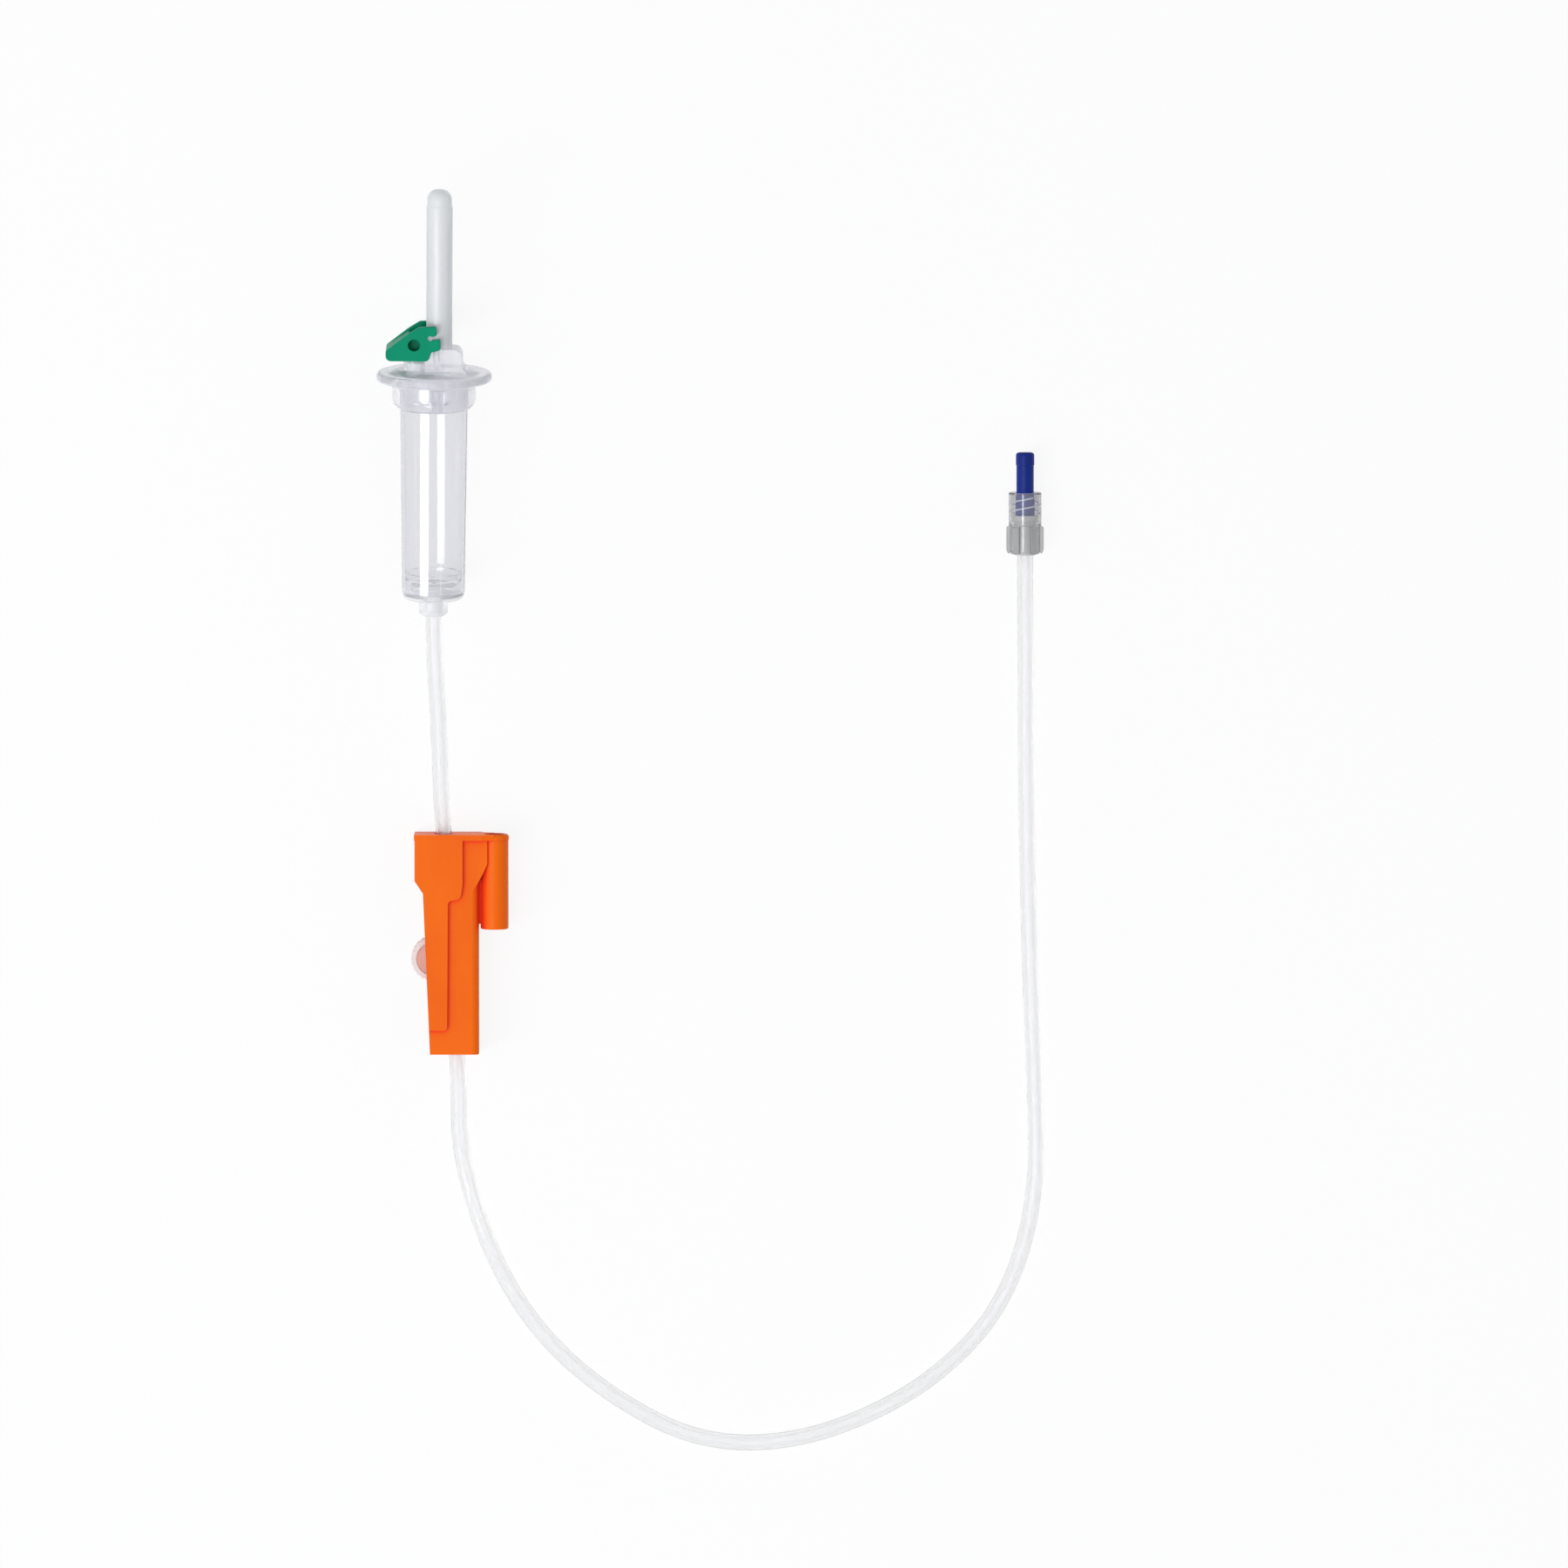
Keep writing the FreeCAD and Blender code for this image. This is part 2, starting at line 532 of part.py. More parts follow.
FLOOR_Z = TUBE_R + 0.05
ROUTE = [
    chamber_point(0, 0, SOCKET_TOP - 0.1),
    chamber_point(0, 0, -76.0),
    V(-77.7, -29.2, 7.0),
    V(-76.7, -63.4, 6.5),
    V(-70.9, -81.4, 6.5),
    V(-70.7, -101.5, 6.5),
    V(-73.9, -113.0, 6.5),
    V(-72.2, -127.6, 6.5),
    V(-72.2, -153.2, 2.9),
    V(-63.7, -181.0, FLOOR_Z),
    V(-50.2, -204.1, FLOOR_Z),
    V(-30.3, -222.3, FLOOR_Z),
    V(-3.5, -236.6, FLOOR_Z),
    V(25.5, -236.6, FLOOR_Z),
    V(55.5, -224.5, FLOOR_Z),
    V(76.6, -207.0, FLOOR_Z),
    V(87.8, -188.4, FLOOR_Z),
    V(93.7, -164.7, FLOOR_Z),
    V(93.3, -136.0, FLOOR_Z),
    V(91.7, -98.0, FLOOR_Z),
    V(90.6, -52.0, FLOOR_Z),
    V(90.5, -16.0, 4.4),
    V(90.25, 5.0, LUER_AT.z),
    luer_point(0, 0, 7.9),
]

path, radii = rounded_path(ROUTE)


def route_x(y):
    """X of the tube's centre line where it crosses height y."""
    for e in path.Edges:
        p, q = e.Vertexes[0].Point, e.Vertexes[-1].Point
        if min(p.y, q.y) <= y <= max(p.y, q.y):
            for k in range(200):
                t = e.FirstParameter + (e.LastParameter - e.FirstParameter) * k / 199
                if e.valueAt(t).y <= y:
                    return e.valueAt(t).x
    return None


entry_x = route_x(CLAMP_AT.y - PLATE_T / 2) - CLAMP_AT.x
exit_x = route_x(CLAMP_AT.y - CLAMP_LEN + 0.6) - CLAMP_AT.x

tube_outer = sweep(path, TUBE_R)
tube = tube_outer.cut(sweep(path, TUBE_BORE_R))

nodes = {
    "spike_cover": chamber_place(make_cover()),
    "spike_body": chamber_place(make_spike_body()),
    "vent_membrane": chamber_place(make_vent_membrane()),
    "vent_cap": chamber_place(make_vent_cap()),
    "drop_nozzle": chamber_place(make_nozzle()),
    "chamber_barrel": chamber_place(make_barrel()),
    "fluid_filter": chamber_place(make_filter()),
    "chamber_base": chamber_place(make_base()),
    "clamp_housing": clamp_place(make_clamp(entry_x, exit_x)),
    "roller_wheel": clamp_place(make_wheel()),
    "luer_body": luer_place(make_luer_body()),
    "luer_collar": luer_place(make_collar()),
    "end_cap": luer_place(make_end_cap()),
    "end_cap_membrane": luer_place(make_cap_membrane()),
}

# Origin under the middle of the rigid pieces, at table height
box = FreeCAD.BoundBox()
for shape in nodes.values():
    box.add(shape.optimalBoundingBox(False, False))
shift = V(-(box.XMin + box.XMax) / 2, -(box.YMin + box.YMax) / 2, -box.ZMin)
nodes["tubing"] = tube

os.makedirs("parts", exist_ok=True)
for name, shape in nodes.items():
    shape.translate(shift)
    solids = shape.Solids
    if len(solids) == 1:
        shape = solids[0]
    shape.exportStep("parts/" + name + ".step")
    b = shape.optimalBoundingBox(False, False)
    print(name, len(solids), shape.isValid(), round(shape.Volume, 1),
          [round(v, 2) for v in (b.XMin, b.XMax, b.YMin, b.YMax, b.ZMin, b.ZMax)])


def show(label, point):
    p = point + shift
    print(label, [round(v, 3) for v in (p.x, p.y, p.z)])


expected = math.pi * (TUBE_R ** 2 - TUBE_BORE_R ** 2) * path.Length
print("tube length", round(path.Length, 1), "volume ratio", round(tube.Volume / expected, 4))
print("tube radii", radii)
print("tilt", round(math.degrees(TILT), 3), "shift", shift)
axis = chamber_point(0, 0, 1) - chamber_point(0, 0, 0)
print("chamber axis", [round(v, 6) for v in (axis.x, axis.y, axis.z)])
side = chamber_point(0, 1, 0) - chamber_point(0, 0, 0)
print("pivot axis", [round(v, 6) for v in (side.x, side.y, side.z)])
show("spike middle", chamber_point(SPIKE_X, 0, (ROOT_TOP + SPIKE_SHOULDER) / 2))
show("pivot", chamber_point(PIVOT_X, 0, PIVOT_S))
show("wheel", CLAMP_AT + V(WHEEL_X, WHEEL_Y, CLAMP_MID))
show("park mouth", CLAMP_AT + V(PARK_X, 0, CLAMP_MID))
show("clamp origin", CLAMP_AT)
show("luer origin", LUER_AT)
show("clamp entry", CLAMP_AT + V(entry_x, 0, 0))
show("clamp exit", CLAMP_AT + V(exit_x, 0, 0))
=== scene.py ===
import math

import bmesh
import bpy
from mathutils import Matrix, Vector


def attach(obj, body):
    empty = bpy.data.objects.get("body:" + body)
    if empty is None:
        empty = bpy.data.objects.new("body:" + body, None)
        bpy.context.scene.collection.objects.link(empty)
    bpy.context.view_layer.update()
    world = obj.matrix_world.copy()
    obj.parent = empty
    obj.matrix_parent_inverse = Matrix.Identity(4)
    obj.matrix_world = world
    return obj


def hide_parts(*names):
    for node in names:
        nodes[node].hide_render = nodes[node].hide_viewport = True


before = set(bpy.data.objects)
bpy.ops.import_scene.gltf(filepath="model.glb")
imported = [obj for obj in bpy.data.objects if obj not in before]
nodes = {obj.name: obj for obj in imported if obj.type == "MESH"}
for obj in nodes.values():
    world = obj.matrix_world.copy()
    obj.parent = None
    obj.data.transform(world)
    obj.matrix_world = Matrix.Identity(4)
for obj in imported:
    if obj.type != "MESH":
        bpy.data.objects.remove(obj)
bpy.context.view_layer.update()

# Metres in a millimetre; the sizes and places below are millimetres in the frame of the part
MM = 0.001
TUBE_R = 2.25
TUBE_BORE_R = 1.5
LUER = Vector((90.046, 19.110, 5.083))
CHAMBER_AXIS = (-79.33, 0.0, 8.0)
COLLAR_AXIS = (90.046, 0.0, 5.083)
ROLLER_AXIS = (-79.604, -96.99, 6.5)

# Where y and z stand among three coordinates
Y_AXIS = 1
Z_AXIS = 2

# Camera: looks down on the set from above, leaning a little towards the spike end
AIM = Vector((0.021024, -0.047437, 0.0))
LEAN = math.radians(4.4)
FAR = 5.0
SEEN_WIDTH = 0.45
SENSOR = 36.0
cam_data = bpy.data.cameras.new("camera")
cam_data.sensor_width = SENSOR
cam_data.lens = SENSOR * FAR / SEEN_WIDTH
cam_data.clip_start = 0.1
cam_data.clip_end = 60.0
camera = bpy.data.objects.new("camera", cam_data)
bpy.context.scene.collection.objects.link(camera)
camera.location = AIM + Vector((0.0, math.sin(LEAN), math.cos(LEAN))) * FAR
camera.rotation_euler = (-LEAN, 0.0, 0.0)
bpy.context.scene.camera = camera
bpy.context.scene.view_settings.view_transform = "Standard"


# Shader parts that the materials, the table and the world share
def blank(name):
    mat = bpy.data.materials.new(name)
    mat.use_nodes = True
    tree = mat.node_tree
    tree.nodes.clear()
    out = tree.nodes.new("ShaderNodeOutputMaterial")
    return mat, tree, out


def put(tree, value, socket):
    """Sets a socket to a number, or links it to an output."""
    if isinstance(value, bpy.types.NodeSocket):
        tree.links.new(value, socket)
    else:
        socket.default_value = value


def maths(tree, operation, *values):
    node = tree.nodes.new("ShaderNodeMath")
    node.operation = operation
    for value, socket in zip(values, node.inputs):
        put(tree, value, socket)
    return node.outputs["Value"]


def vector_maths(tree, operation, first, second=None):
    node = tree.nodes.new("ShaderNodeVectorMath")
    node.operation = operation
    tree.links.new(first, node.inputs[0])
    if second is not None:
        node.inputs[1].default_value = second
    return node


def one_colour(tree, kind, colour):
    """A shader of one colour, such as diffuse, translucent or emission."""
    node = tree.nodes.new(kind)
    node.inputs["Color"].default_value = (*colour, 1)
    return node.outputs[0]


def mixed(tree, share, first, second):
    """Two shaders: the first at a share of 0, the second at 1."""
    node = tree.nodes.new("ShaderNodeMixShader")
    put(tree, share, node.inputs["Fac"])
    tree.links.new(first, node.inputs[1])
    tree.links.new(second, node.inputs[2])
    return node.outputs["Shader"]


def any_ray(tree, *kinds):
    """1 for a ray of any of these kinds, otherwise 0."""
    path = tree.nodes.new("ShaderNodeLightPath")
    found = path.outputs[kinds[0]]
    for kind in kinds[1:]:
        found = maths(tree, "MAXIMUM", found, path.outputs[kind])
    return found


def noise(tree, coord, scale, detail=3.0, stretch=None):
    source = coord
    if stretch:
        mapping = tree.nodes.new("ShaderNodeMapping")
        mapping.inputs["Scale"].default_value = stretch
        tree.links.new(coord, mapping.inputs["Vector"])
        source = mapping.outputs["Vector"]
    texture = tree.nodes.new("ShaderNodeTexNoise")
    texture.inputs["Scale"].default_value = scale
    texture.inputs["Detail"].default_value = detail
    texture.inputs["Roughness"].default_value = 0.55
    tree.links.new(source, texture.inputs["Vector"])
    return texture.outputs["Fac"]


def ramp(tree, value, low, high, start=0.3, end=0.7):
    """Low at the start of the value's range, high at its end, straight between."""
    node = tree.nodes.new("ShaderNodeMapRange")
    node.inputs["From Min"].default_value = start
    node.inputs["From Max"].default_value = end
    node.inputs["To Min"].default_value = low
    node.inputs["To Max"].default_value = high
    tree.links.new(value, node.inputs["Value"])
    return node.outputs["Result"]


def two_tone(tree, share, first, second):
    """The first colour at a share of 0; the second, a colour or an output, at 1."""
    node = tree.nodes.new("ShaderNodeMix")
    node.data_type = "RGBA"
    start, end = node.inputs[6], node.inputs[7]
    start.default_value = (*first, 1)
    put(tree, (*second, 1) if isinstance(second, tuple) else second, end)
    tree.links.new(share, node.inputs[0])
    return node.outputs[2]


def beyond(tree, coord, axis, centre, radius, soft):
    """0 inside a radius round an axis of the object, 1 outside, with a soft border; millimetres."""
    shift = vector_maths(tree, "SUBTRACT", coord, [c * MM for c in centre])
    across = [0.0 if k == axis else 1.0 for k in range(3)]
    flat = vector_maths(tree, "MULTIPLY", shift.outputs["Vector"], across)
    size = vector_maths(tree, "LENGTH", flat.outputs["Vector"])
    return ramp(tree, size.outputs["Value"], 0.0, 1.0, (radius - soft) * MM, (radius + soft) * MM)


def bump(tree, height, strength, distance, under=None):
    node = tree.nodes.new("ShaderNodeBump")
    node.inputs["Strength"].default_value = strength
    node.inputs["Distance"].default_value = distance
    tree.links.new(height, node.inputs["Height"])
    if under is not None:
        tree.links.new(under, node.inputs["Normal"])
    return node.outputs["Normal"]


def bumps(tree, coord, fine, coarse, strength):
    """Fine grain of an etched mould over the slow waves of a moulding."""
    grain = bump(tree, noise(tree, coord, 9000, 2.0), strength, fine)
    return bump(tree, noise(tree, coord, 260, 2.0), strength, coarse, grain)


def turned_away(tree):
    """0 where the surface faces the ray, 1 where it is edge on."""
    layer = tree.nodes.new("ShaderNodeLayerWeight")
    layer.inputs["Blend"].default_value = 0.5
    return layer.outputs["Facing"]


def glassy(tree, ior, colour, roughness):
    """Clear refracting shader; colour and roughness are values or outputs."""
    node = tree.nodes.new("ShaderNodeBsdfPrincipled")
    node.inputs["Transmission Weight"].default_value = 1.0
    node.inputs["IOR"].default_value = ior
    put(tree, colour, node.inputs["Base Color"])
    put(tree, roughness, node.inputs["Roughness"])
    return node


def milk(tree, colour, passing):
    """Cloudy white: the passing share of the light comes through from behind."""
    front = one_colour(tree, "ShaderNodeBsdfDiffuse", colour)
    back = one_colour(tree, "ShaderNodeBsdfTranslucent", colour)
    return mixed(tree, passing, front, back)


def let_through(tree, kinds, shader, colour):
    """Rays of these kinds pass straight on, so that a clear piece casts no dark shadow."""
    passing = one_colour(tree, "ShaderNodeBsdfTransparent", colour)
    return mixed(tree, any_ray(tree, *kinds), shader, passing)


# Materials
def moulded(name, light, dark, rough, spec, crease_shade=None):
    """Solid-coloured injection moulded plastic, with painted shade in steps and gaps when a crease shade
    colour is given.
    """
    mat, tree, out = blank(name)
    coord = tree.nodes.new("ShaderNodeTexCoord").outputs["Object"]
    p = tree.nodes.new("ShaderNodeBsdfPrincipled")
    flow = noise(tree, coord, 90, 4.0, stretch=(1.0, 0.35, 1.0))
    colour = two_tone(tree, ramp(tree, flow, 0, 1), light, dark)
    if crease_shade:
        # painted shade: steps and gaps take the deeper, redder crease colour, standing in for the shade
        # there and the redder light that bounces about in them
        corner = tree.nodes.new("ShaderNodeAmbientOcclusion")
        corner.samples = 8
        corner.inputs["Distance"].default_value = 0.005
        openness = ramp(tree, corner.outputs["AO"], 0.0, 1.0, 0.68, 0.98)
        colour = two_tone(tree, openness, crease_shade, colour)
    tree.links.new(colour, p.inputs["Base Color"])
    tree.links.new(ramp(tree, noise(tree, coord, 700, 4.0), rough[0], rough[1]), p.inputs["Roughness"])
    tree.links.new(bumps(tree, coord, 0.000012, 0.00006, 0.6), p.inputs["Normal"])
    p.inputs["Specular IOR Level"].default_value = spec
    p.inputs["IOR"].default_value = 1.5
    tree.links.new(p.outputs["BSDF"], out.inputs["Surface"])
    return mat


def clear(name, wave, haze, absorb, ior=1.5, middle=(0.97, 0.97, 0.98), edge=(0.78, 0.77, 0.84), bend=2.2,
          tint=(0.80, 0.80, 0.90), rough=0.02, haze_colour=(0.84, 0.85, 0.88), frost=None):
    """Clear plastic: light passes, rims turned edge-on are painted darker in the edge colour as painted
    shade, long paths tint, a little haze.

    The frost is an axis, a centre, a radius, a top and an amount. Outside the radius and below
    the top, both in millimetres, that amount is added to the haze, or taken off if negative."""
    mat, tree, out = blank(name)
    coord = tree.nodes.new("ShaderNodeTexCoord").outputs["Object"]
    along = (1.0, 0.2, 1.0)
    # painted shade: the colour goes towards the edge colour where the surface turns edge-on, standing in
    # for the darker look of thick edges
    painted_rim_shade = maths(tree, "POWER", turned_away(tree), bend)
    polish = ramp(tree, noise(tree, coord, 400, 3.0), rough * 0.5, rough * 1.5)
    glass = glassy(tree, ior, two_tone(tree, painted_rim_shade, middle, edge), polish)
    flow = bump(tree, noise(tree, coord, 200, 2.0, stretch=along), 0.5, wave)
    tree.links.new(flow, glass.inputs["Normal"])
    share = ramp(tree, noise(tree, coord, 120, 3.0, stretch=along), haze * 0.7, haze * 1.3)
    if frost:
        border = 0.05
        axis, centre, radius, top, amount = frost
        parts = tree.nodes.new("ShaderNodeSeparateXYZ")
        tree.links.new(coord, parts.inputs["Vector"])
        below = ramp(tree, parts.outputs[axis], amount, 0.0, (top - border) * MM, (top + border) * MM)
        outside = beyond(tree, coord, axis, centre, radius, border)
        share = maths(tree, "MULTIPLY_ADD", outside, below, share)
    cloudy = mixed(tree, share, glass.outputs["BSDF"], milk(tree, haze_colour, 0.2))
    kinds = ("Is Shadow Ray", "Is Diffuse Ray")
    tree.links.new(let_through(tree, kinds, cloudy, (0.985, 0.985, 0.99)), out.inputs["Surface"])
    depth = tree.nodes.new("ShaderNodeVolumeAbsorption")
    depth.inputs["Color"].default_value = (*tint, 1)
    depth.inputs["Density"].default_value = absorb / (1 - min(tint))
    tree.links.new(depth.outputs["Volume"], out.inputs["Volume"])
    return mat


def soft_clear(name, middle, edge, milk_colour, milk_share):
    """Soft clear extrusion: one tone in the middle and one at the rims, some milk, a wet gloss."""
    mat, tree, out = blank(name)
    coord = tree.nodes.new("ShaderNodeTexCoord").outputs["Object"]
    away = turned_away(tree)
    tone = two_tone(tree, maths(tree, "POWER", away, 2.0), middle, edge)
    body = glassy(tree, 1.10, tone, ramp(tree, noise(tree, coord, 300, 3.0), 0.03, 0.09))
    cloud = ramp(tree, noise(tree, coord, 60, 3.0), milk_share * 0.93, milk_share * 1.07)
    share = maths(tree, "MULTIPLY", cloud, maths(tree, "SUBTRACT", 1.0, away))
    cloudy = mixed(tree, share, body.outputs["BSDF"], milk(tree, milk_colour, 0.45))
    shine = tree.nodes.new("ShaderNodeBsdfGlossy")
    shine.inputs["Color"].default_value = (1, 1, 1, 1)
    tree.links.new(ramp(tree, noise(tree, coord, 500, 3.0), 0.08, 0.16), shine.inputs["Roughness"])
    edge_on = tree.nodes.new("ShaderNodeFresnel")
    edge_on.inputs["IOR"].default_value = 1.17
    wet = mixed(tree, edge_on.outputs["Fac"], cloudy, shine.outputs["BSDF"])
    skin = let_through(tree, ("Is Shadow Ray",), wet, (0.90, 0.90, 0.90))
    tree.links.new(skin, out.inputs["Surface"])
    return mat


def milky(name, light, dark, through, rough=(0.22, 0.34), hub=None):
    """Translucent white plastic. The hub is an axis, a centre, a radius and the tone inside it."""
    mat, tree, out = blank(name)
    coord = tree.nodes.new("ShaderNodeTexCoord").outputs["Object"]
    p = tree.nodes.new("ShaderNodeBsdfPrincipled")
    cloud = noise(tree, coord, 140, 4.0, stretch=(1.0, 0.25, 1.0))
    colour = two_tone(tree, ramp(tree, cloud, 0, 1), light, dark)
    if hub:
        axis, centre, radius, tone = hub
        colour = two_tone(tree, beyond(tree, coord, axis, centre, radius, 0.4), tone, colour)
    tree.links.new(colour, p.inputs["Base Color"])
    tree.links.new(ramp(tree, noise(tree, coord, 800, 3.0), rough[0], rough[1]), p.inputs["Roughness"])
    tree.links.new(bumps(tree, coord, 0.000008, 0.00005, 0.5), p.inputs["Normal"])
    p.inputs["IOR"].default_value = 1.5
    soft = tree.nodes.new("ShaderNodeBsdfTranslucent")
    tree.links.new(colour, soft.inputs["Color"])
    clean = glassy(tree, 1.2, (*light, 1), 0.35)
    solid = mixed(tree, 0.35, p.outputs["BSDF"], soft.outputs["BSDF"])
    cloudy = mixed(tree, through, solid, clean.outputs["BSDF"])
    skin = let_through(tree, ("Is Shadow Ray",), cloudy, (0.75, 0.75, 0.75))
    tree.links.new(skin, out.inputs["Surface"])
    return mat


def mesh_cloth(name, colour, open_share=0.0):
    """Fine woven or cast membrane; the open share is what the eye sees through."""
    mat, tree, out = blank(name)
    coord = tree.nodes.new("ShaderNodeTexCoord").outputs["Object"]
    p = tree.nodes.new("ShaderNodeBsdfPrincipled")
    p.inputs["Roughness"].default_value = 0.85
    threads = []
    for axis in ("X", "Z"):
        wave = tree.nodes.new("ShaderNodeTexWave")
        wave.wave_type = "BANDS"
        wave.bands_direction = axis
        wave.inputs["Scale"].default_value = 900.0
        tree.links.new(coord, wave.inputs["Vector"])
        threads.append(wave.outputs["Fac"])
    top = maths(tree, "MAXIMUM", *threads)
    tree.links.new(bump(tree, top, 1.0, 0.00004), p.inputs["Normal"])
    # painted shade: the colour is darker where the weave lies low between the threads' crests
    weave_hollow_shade = tuple(c * 0.8 for c in colour)
    tree.links.new(two_tone(tree, top, weave_hollow_shade, colour), p.inputs["Base Color"])
    holes = tree.nodes.new("ShaderNodeBsdfTransparent")
    cloth = mixed(tree, open_share, p.outputs["BSDF"], holes.outputs["BSDF"])
    tree.links.new(cloth, out.inputs["Surface"])
    return mat


CLEAN_MIDDLE = (0.99, 0.99, 0.995)
cap_clear = clear("clear_cap", wave=0.00001, haze=0.36, absorb=2, ior=1.30, middle=CLEAN_MIDDLE,
                  edge=(0.95, 0.94, 0.98), haze_colour=(0.96, 0.95, 1.0),
                  frost=(Y_AXIS, CHAMBER_AXIS, 0.0, 67.2, -0.20))
barrel_clear = clear("clear_barrel", wave=0.000004, haze=0.05, absorb=75, edge=(0.84, 0.82, 0.90),
                     bend=2.6, tint=(0.80, 0.80, 0.83), rough=0.015)
base_clear = clear("clear_base", wave=0.000006, haze=0.04, absorb=1, ior=1.30, middle=CLEAN_MIDDLE,
                   edge=(0.95, 0.95, 0.98), haze_colour=(0.97, 0.97, 1.0),
                   frost=(Y_AXIS, CHAMBER_AXIS, 0.0, 9.0, 0.32))
nozzle_clear = clear("nozzle_grey", wave=0.000006, haze=0.12, absorb=60, tint=(0.72, 0.78, 0.86))
collar_clear = clear("clear_collar", wave=0.000006, haze=0.16, absorb=60, middle=(0.93, 0.93, 0.93),
                     edge=(0.50, 0.50, 0.51), bend=1.4, tint=(0.80, 0.80, 0.81),
                     haze_colour=(0.45, 0.45, 0.45), frost=(Y_AXIS, COLLAR_AXIS, 4.43, 27.25, 0.32))
thread_clear = clear("clear_collar_thread", wave=0.000004, haze=0.62, absorb=8,
                     haze_colour=(0.86, 0.88, 0.92))
tube_clear = soft_clear("clear_tube", (0.95, 0.952, 0.957), (0.985, 0.985, 0.985), (0.90, 0.90, 0.91),
                        milk_share=0.30)

looks = {
    "spike_body": cap_clear,
    "chamber_barrel": barrel_clear,
    "chamber_base": base_clear,
    "drop_nozzle": nozzle_clear,
    "luer_collar": collar_clear,
    "spike_cover": milky("milky_cover", (0.88, 0.89, 0.90), (0.83, 0.84, 0.85), through=0.40,
                         rough=(0.20, 0.28)),
    "luer_body": milky("luer_white", (0.80, 0.80, 0.80), (0.74, 0.74, 0.75), through=0.25),
    "roller_wheel": milky("wheel_white", (0.95, 0.93, 0.92), (0.92, 0.90, 0.89), through=0.08,
                          hub=(Z_AXIS, ROLLER_AXIS, 4.7, (0.93, 0.55, 0.47))),
    "vent_cap": moulded("green_lever", (0.0, 0.300, 0.160), (0.0, 0.250, 0.130), rough=(0.32, 0.45),
                        spec=0.08),
    "clamp_housing": moulded("orange_body", (0.97, 0.160, 0.004), (0.92, 0.135, 0.003),
                             rough=(0.30, 0.42), spec=0.09, crease_shade=(0.86, 0.045, 0.008)),
    "end_cap": moulded("blue_cap", (0.008, 0.025, 0.235), (0.006, 0.020, 0.19), rough=(0.28, 0.4),
                       spec=0.12),
    "vent_membrane": mesh_cloth("membrane_white", (0.9, 0.9, 0.9)),
    "fluid_filter": mesh_cloth("filter_mesh", (0.90, 0.90, 0.92), open_share=0.65),
    "end_cap_membrane": mesh_cloth("cap_membrane_white", (0.9, 0.9, 0.9)),
}
for node_name, mat in looks.items():
    data = nodes[node_name].data
    data.materials.clear()
    data.materials.append(mat)


# Tube: a hollow skin along the route's own smooth curve
ROUTE = [
    (-79.33, 7.81, 8.83), (-79.43, -6.09, 7.15), (-77.90, -29.84, 7.00), (-76.90, -64.04, 6.50),
    (-71.10, -82.04, 6.50), (-70.90, -102.14, 6.50), (-74.10, -113.64, 6.50),
    (-72.40, -128.24, 6.50), (-72.40, -153.84, 2.90), (-63.90, -181.64, 2.30),
    (-50.40, -204.74, 2.30), (-30.50, -222.94, 2.30), (-3.70, -237.24, 2.30),
    (25.30, -237.24, 2.30), (55.30, -225.14, 2.30), (76.40, -207.64, 2.30),
    (87.60, -189.04, 2.30), (93.50, -165.34, 2.30), (93.10, -136.64, 2.30),
    (91.50, -98.64, 2.30), (90.40, -52.64, 2.30), (90.30, -16.64, 4.40), (90.05, 4.36, 5.08),
    (90.05, 27.01, 5.08),
]


def add_object(name, bm):
    """Turns a finished bmesh into an object of the scene."""
    bmesh.ops.recalc_face_normals(bm, faces=bm.faces[:])
    mesh = bpy.data.meshes.new(name)
    bm.to_mesh(mesh)
    bm.free()
    obj = bpy.data.objects.new(name, mesh)
    bpy.context.scene.collection.objects.link(obj)
    return obj


def smooth_route(points):
    curve = bpy.data.curves.new("route", "CURVE")
    curve.dimensions = "3D"
    curve.resolution_u = 24
    spline = curve.splines.new("NURBS")
    spline.points.add(len(points) - 1)
    for point, (x, y, z) in zip(spline.points, points):
        point.co = (x * MM, y * MM, z * MM, 1.0)
    spline.order_u = 3
    spline.use_endpoint_u = True
    holder = bpy.data.objects.new("route", curve)
    bpy.context.scene.collection.objects.link(holder)
    bpy.context.view_layer.update()
    line = bpy.data.meshes.new_from_object(holder)
    found = [v.co.copy() for v in line.vertices]
    bpy.data.objects.remove(holder)
    bpy.data.curves.remove(curve)
    bpy.data.meshes.remove(line)
    least_step = 1e-5
    kept = [found[0]]
    for p in found[1:]:
        if (p - kept[-1]).length > least_step:
            kept.append(p)
    return kept


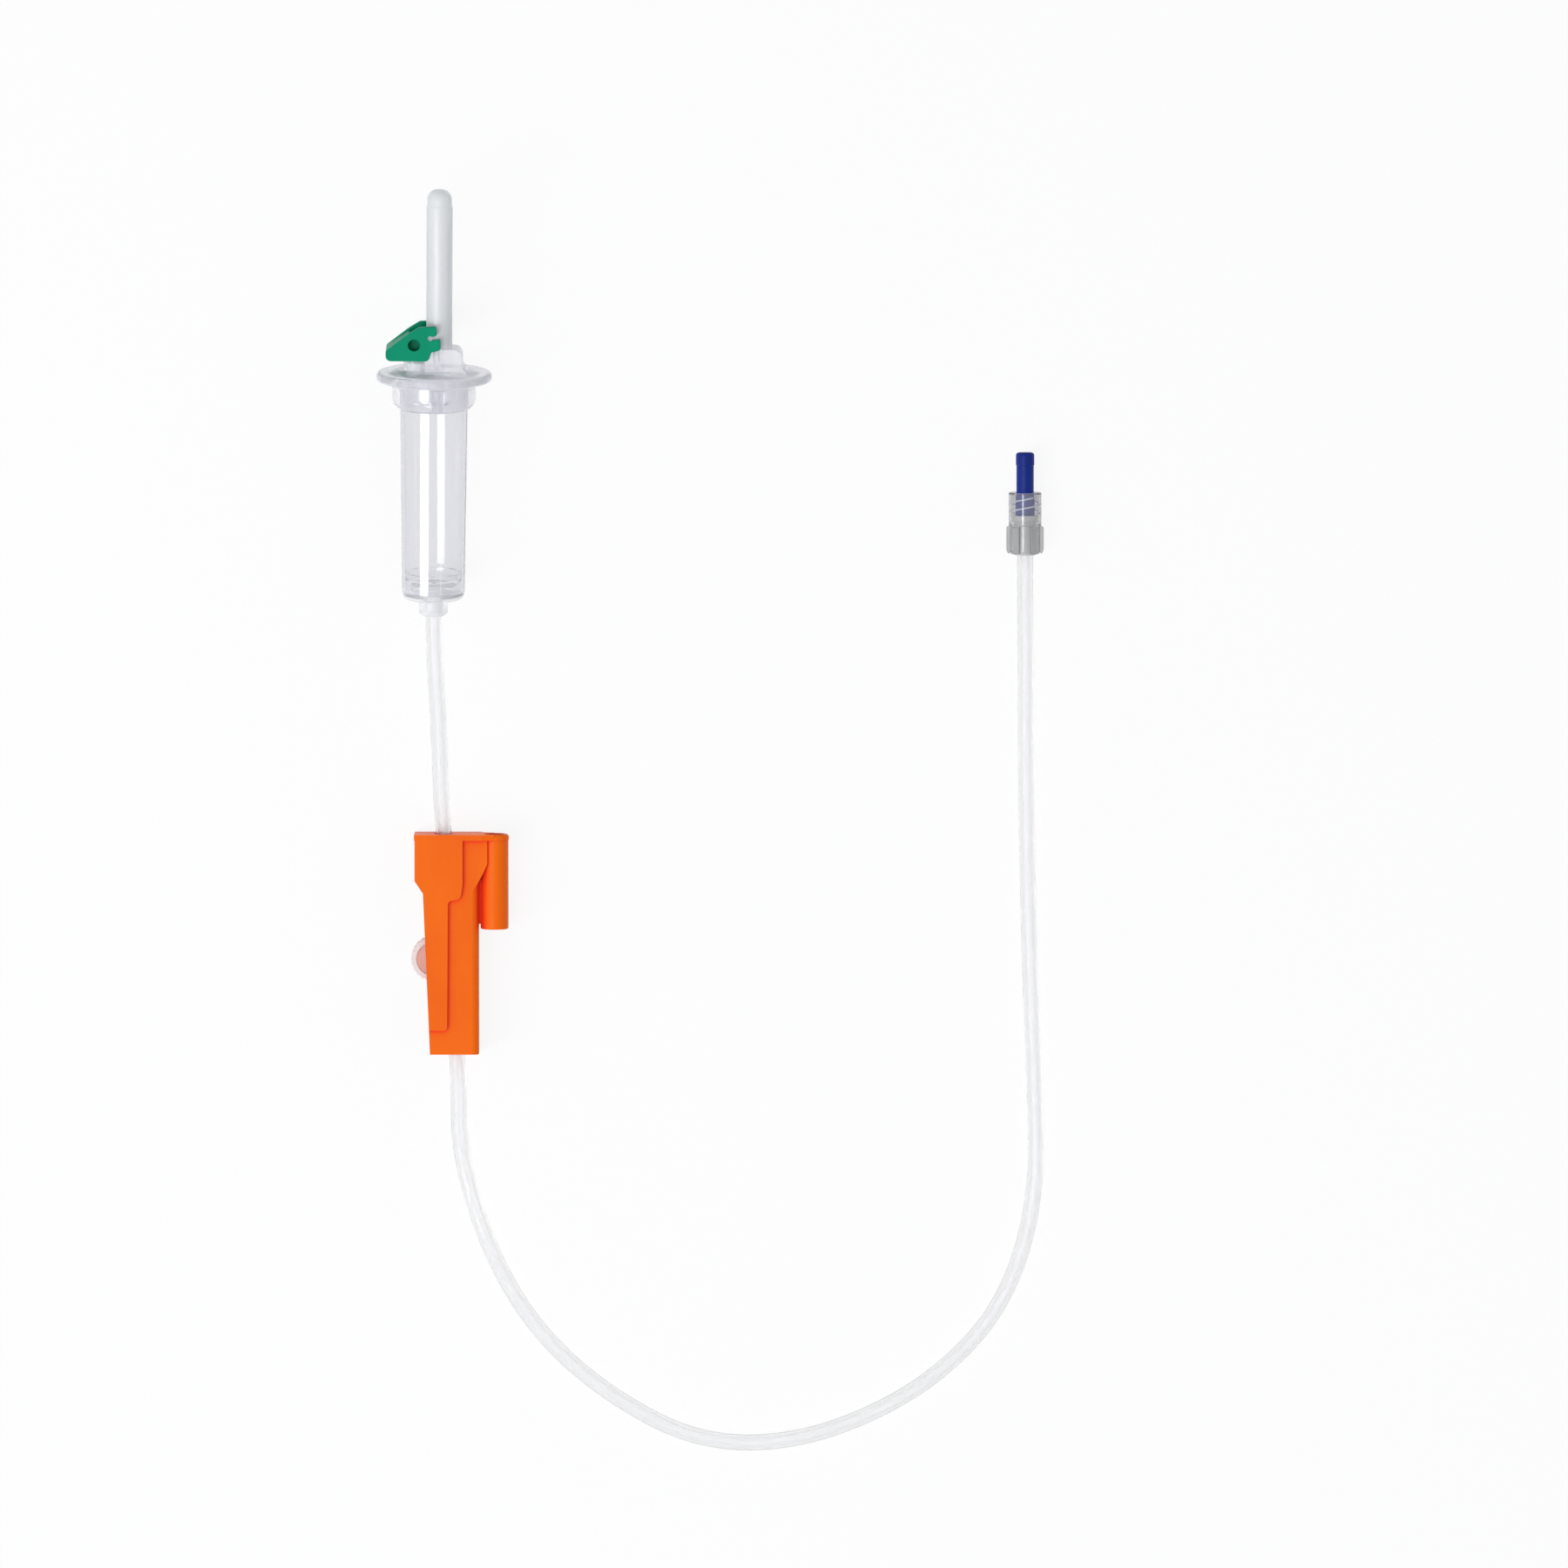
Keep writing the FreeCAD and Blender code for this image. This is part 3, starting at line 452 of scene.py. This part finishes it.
def tube_mesh(name, line, radius, bore, sides=28):
    bm = bmesh.new()
    uv = bm.loops.layers.uv.new("run")
    up = Vector((0, 0, 1))
    skins = {radius: [], bore: []}
    run = [0.0]
    for i, p in enumerate(line):
        earlier = line[max(i - 1, 0)]
        later = line[min(i + 1, len(line) - 1)]
        ahead = (later - earlier).normalized()
        side = up.cross(ahead).normalized()
        over = ahead.cross(side)
        if i:
            run.append(run[-1] + (p - line[i - 1]).length)
        for r in (radius, bore):
            skins[r].append([bm.verts.new(p + (side * math.cos(t) + over * math.sin(t)) * r)
                             for t in (2 * math.pi * k / sides for k in range(sides))])
    for r, flip in ((radius, False), (bore, True)):
        rings = skins[r]
        for i in range(len(rings) - 1):
            for k in range(sides):
                m = (k + 1) % sides
                corners = [rings[i][k], rings[i][m], rings[i + 1][m], rings[i + 1][k]]
                places = [(k, i), (k + 1, i), (k + 1, i + 1), (k, i + 1)]
                if flip:
                    corners.reverse()
                    places.reverse()
                face = bm.faces.new(corners)
                face.smooth = True
                for loop, (u, v) in zip(face.loops, places):
                    loop[uv].uv = (u / sides, run[v])
    for i in (0, len(line) - 1):
        for k in range(sides):
            m = (k + 1) % sides
            corners = [skins[radius][i][k], skins[radius][i][m], skins[bore][i][m], skins[bore][i][k]]
            if i == 0:
                corners.reverse()
            bm.faces.new(corners)
    return add_object(name, bm)


line = smooth_route(ROUTE)
tube = tube_mesh("line_tube", line, TUBE_R * MM, TUBE_BORE_R * MM)
tube.data.materials.append(tube_clear)
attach(tube, "line")
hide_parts("tubing")


# Luer thread: two starts of a low ridge inside the collar, from bottom to top above LUER
def thread_mesh(name, wall, depth, bottom, top, lead, starts=2, steps=48):
    bm = bmesh.new()
    half = 0.24
    crest_half = half * 0.35
    sunk = 0.02
    first_angle = 2.4
    turns = (top - bottom) / lead
    count = int(steps * turns)
    for s in range(starts):
        rings = []
        for i in range(count + 1):
            t = i / count
            angle = 2 * math.pi * (t * turns + s / starts) + first_angle
            fade = min(1.0, 6 * t, 6 * (1 - t))
            h = bottom + (top - bottom) * t
            inner = wall + sunk - (depth + sunk) * fade
            profile = [(wall + sunk, h - half), (inner, h - crest_half), (inner, h + crest_half),
                       (wall + sunk, h + half)]
            rings.append([bm.verts.new((LUER + Vector((r * math.cos(angle), y, -r * math.sin(angle)))) * MM)
                          for r, y in profile])
        for a, b in zip(rings, rings[1:]):
            for k in range(4):
                m = (k + 1) % 4
                face = bm.faces.new((a[k], a[m], b[m], b[k]))
                face.smooth = True
        bm.faces.new(rings[0])
        bm.faces.new(rings[-1][::-1])
    return add_object(name, bm)


thread = thread_mesh("collar_thread", wall=4.0, depth=0.40, bottom=11.4, top=16.4, lead=5.0)
thread.data.materials.append(thread_clear)
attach(thread, "collar")

# Table: pale and plain, nearly white of itself to the eye, and lit for the rest so that shadows show
TABLE_HALF = 4
TABLE_DROP = 0.0003
OWN_WHITE = 0.88
floor_mesh = bpy.data.meshes.new("table")
floor_corners = [(-TABLE_HALF, -TABLE_HALF, 0), (TABLE_HALF, -TABLE_HALF, 0),
                 (TABLE_HALF, TABLE_HALF, 0), (-TABLE_HALF, TABLE_HALF, 0)]
floor_mesh.from_pydata(floor_corners, [], [(0, 1, 2, 3)])
floor = bpy.data.objects.new("table", floor_mesh)
floor.location = (0, 0, -TABLE_DROP)
bpy.context.scene.collection.objects.link(floor)
mat, tree, out = blank("table_white")
lit = one_colour(tree, "ShaderNodeBsdfDiffuse", (0.92, 0.92, 0.92))
plain = one_colour(tree, "ShaderNodeEmission", (1, 1, 1))
seen = any_ray(tree, "Is Camera Ray", "Is Glossy Ray", "Is Transmission Ray")
surface = mixed(tree, maths(tree, "MULTIPLY", seen, OWN_WHITE), lit, plain)
tree.links.new(surface, out.inputs["Surface"])
floor_mesh.materials.append(mat)

# World: white where it is seen, soft and cool where it lights
world = bpy.data.worlds.new("studio")
bpy.context.scene.world = world
world.use_nodes = True
tree = world.node_tree
tree.nodes.clear()
out = tree.nodes.new("ShaderNodeOutputWorld")
soft = tree.nodes.new("ShaderNodeBackground")
soft.inputs["Color"].default_value = (0.95, 0.97, 1.0, 1)
soft.inputs["Strength"].default_value = 0.53
white = one_colour(tree, "ShaderNodeBackground", (1, 1, 1))
seen = any_ray(tree, "Is Camera Ray", "Is Transmission Ray", "Is Glossy Ray")
tree.links.new(mixed(tree, seen, soft.outputs["Background"], white), out.inputs["Surface"])


# Lamps: a wide strong strip on the left and a narrow weak one on the right
def lamp(name, place, width, height, power):
    data = bpy.data.lights.new(name, "AREA")
    data.shape = "RECTANGLE"
    data.size = width
    data.size_y = height
    data.energy = power
    obj = bpy.data.objects.new(name, data)
    obj.location = place
    way = Vector((0, 0, 0)) - Vector(place)
    obj.rotation_euler = way.to_track_quat("-Z", "Y").to_euler()
    bpy.context.scene.collection.objects.link(obj)


lamp("key", (-1.2, -0.6, 1.9), width=0.55, height=2.4, power=31)
lamp("fill", (0.85, -0.6, 1.9), width=0.07, height=2.4, power=0.8)
